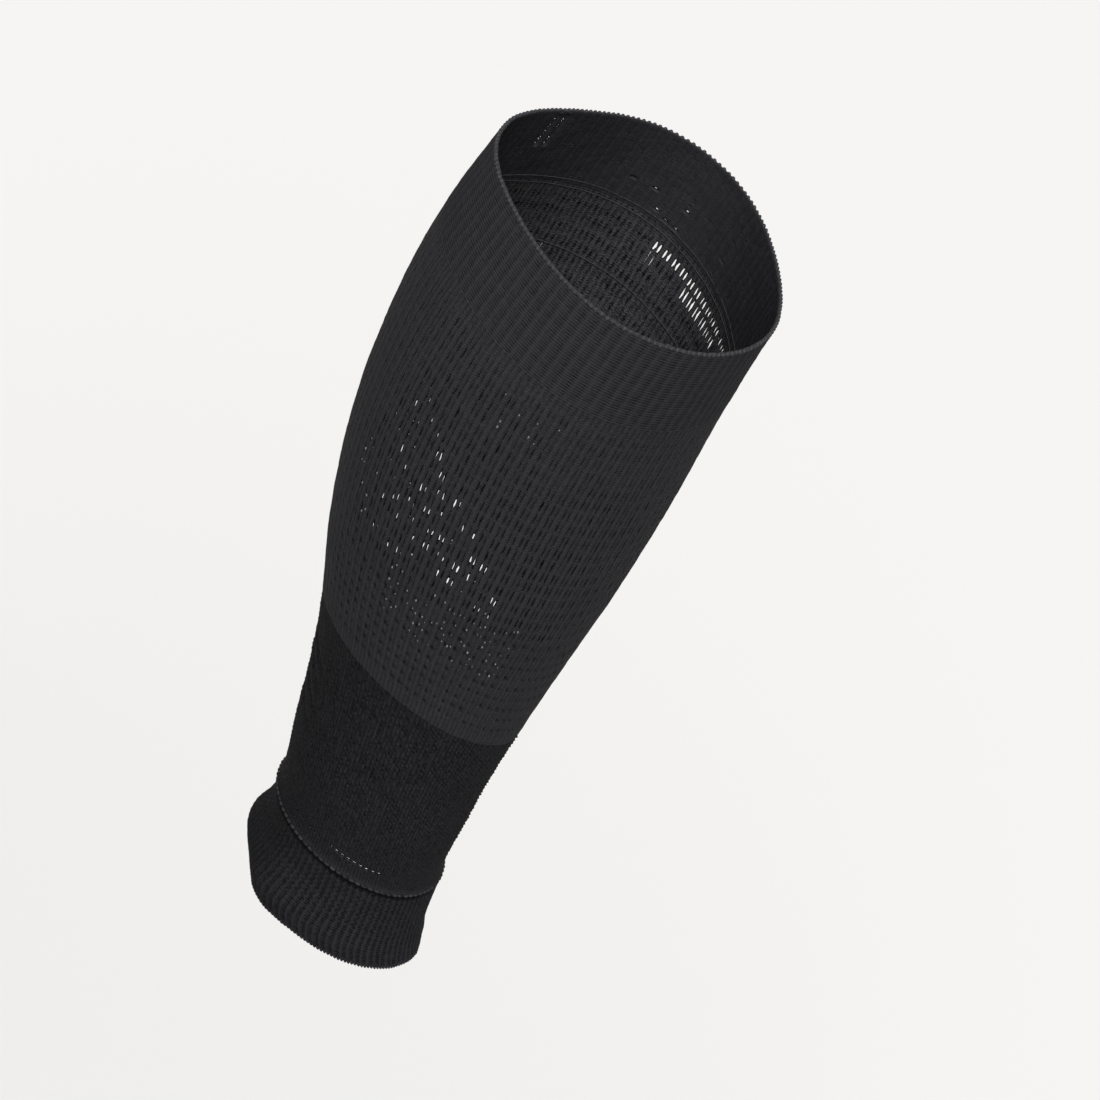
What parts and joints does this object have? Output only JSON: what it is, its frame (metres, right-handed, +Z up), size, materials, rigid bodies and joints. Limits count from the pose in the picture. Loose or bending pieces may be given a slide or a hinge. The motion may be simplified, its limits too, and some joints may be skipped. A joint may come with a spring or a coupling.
{
  "type": "calf compression sleeve",
  "caption": "Footless knitted calf compression sleeve in its worn form, with a ribbed top cuff, open mesh calf panel, dense ankle panel and ribbed ankle cuff.",
  "frame": {"origin": "on the leg's axis, where the calf is widest and the sleeve grips it, 240 mm above the hem", "axes": "+Z up the leg from the ankle cuff to the mouth, +X forward to the shin, +Y to the side of the leg that is hidden in the picture"},
  "size_m": [0.1603, 0.1233, 0.329],
  "materials": {
    "charcoal_knit": "matt charcoal polyamide and elastane knit",
    "black_knit": "matt black polyamide and elastane knit"
  },
  "bodies": {
    "root": {"ankle_cuff": "black_knit", "ankle_panel": "black_knit", "calf_panel": "charcoal_knit", "top_cuff": "charcoal_knit"}
  },
  "joints": []
}
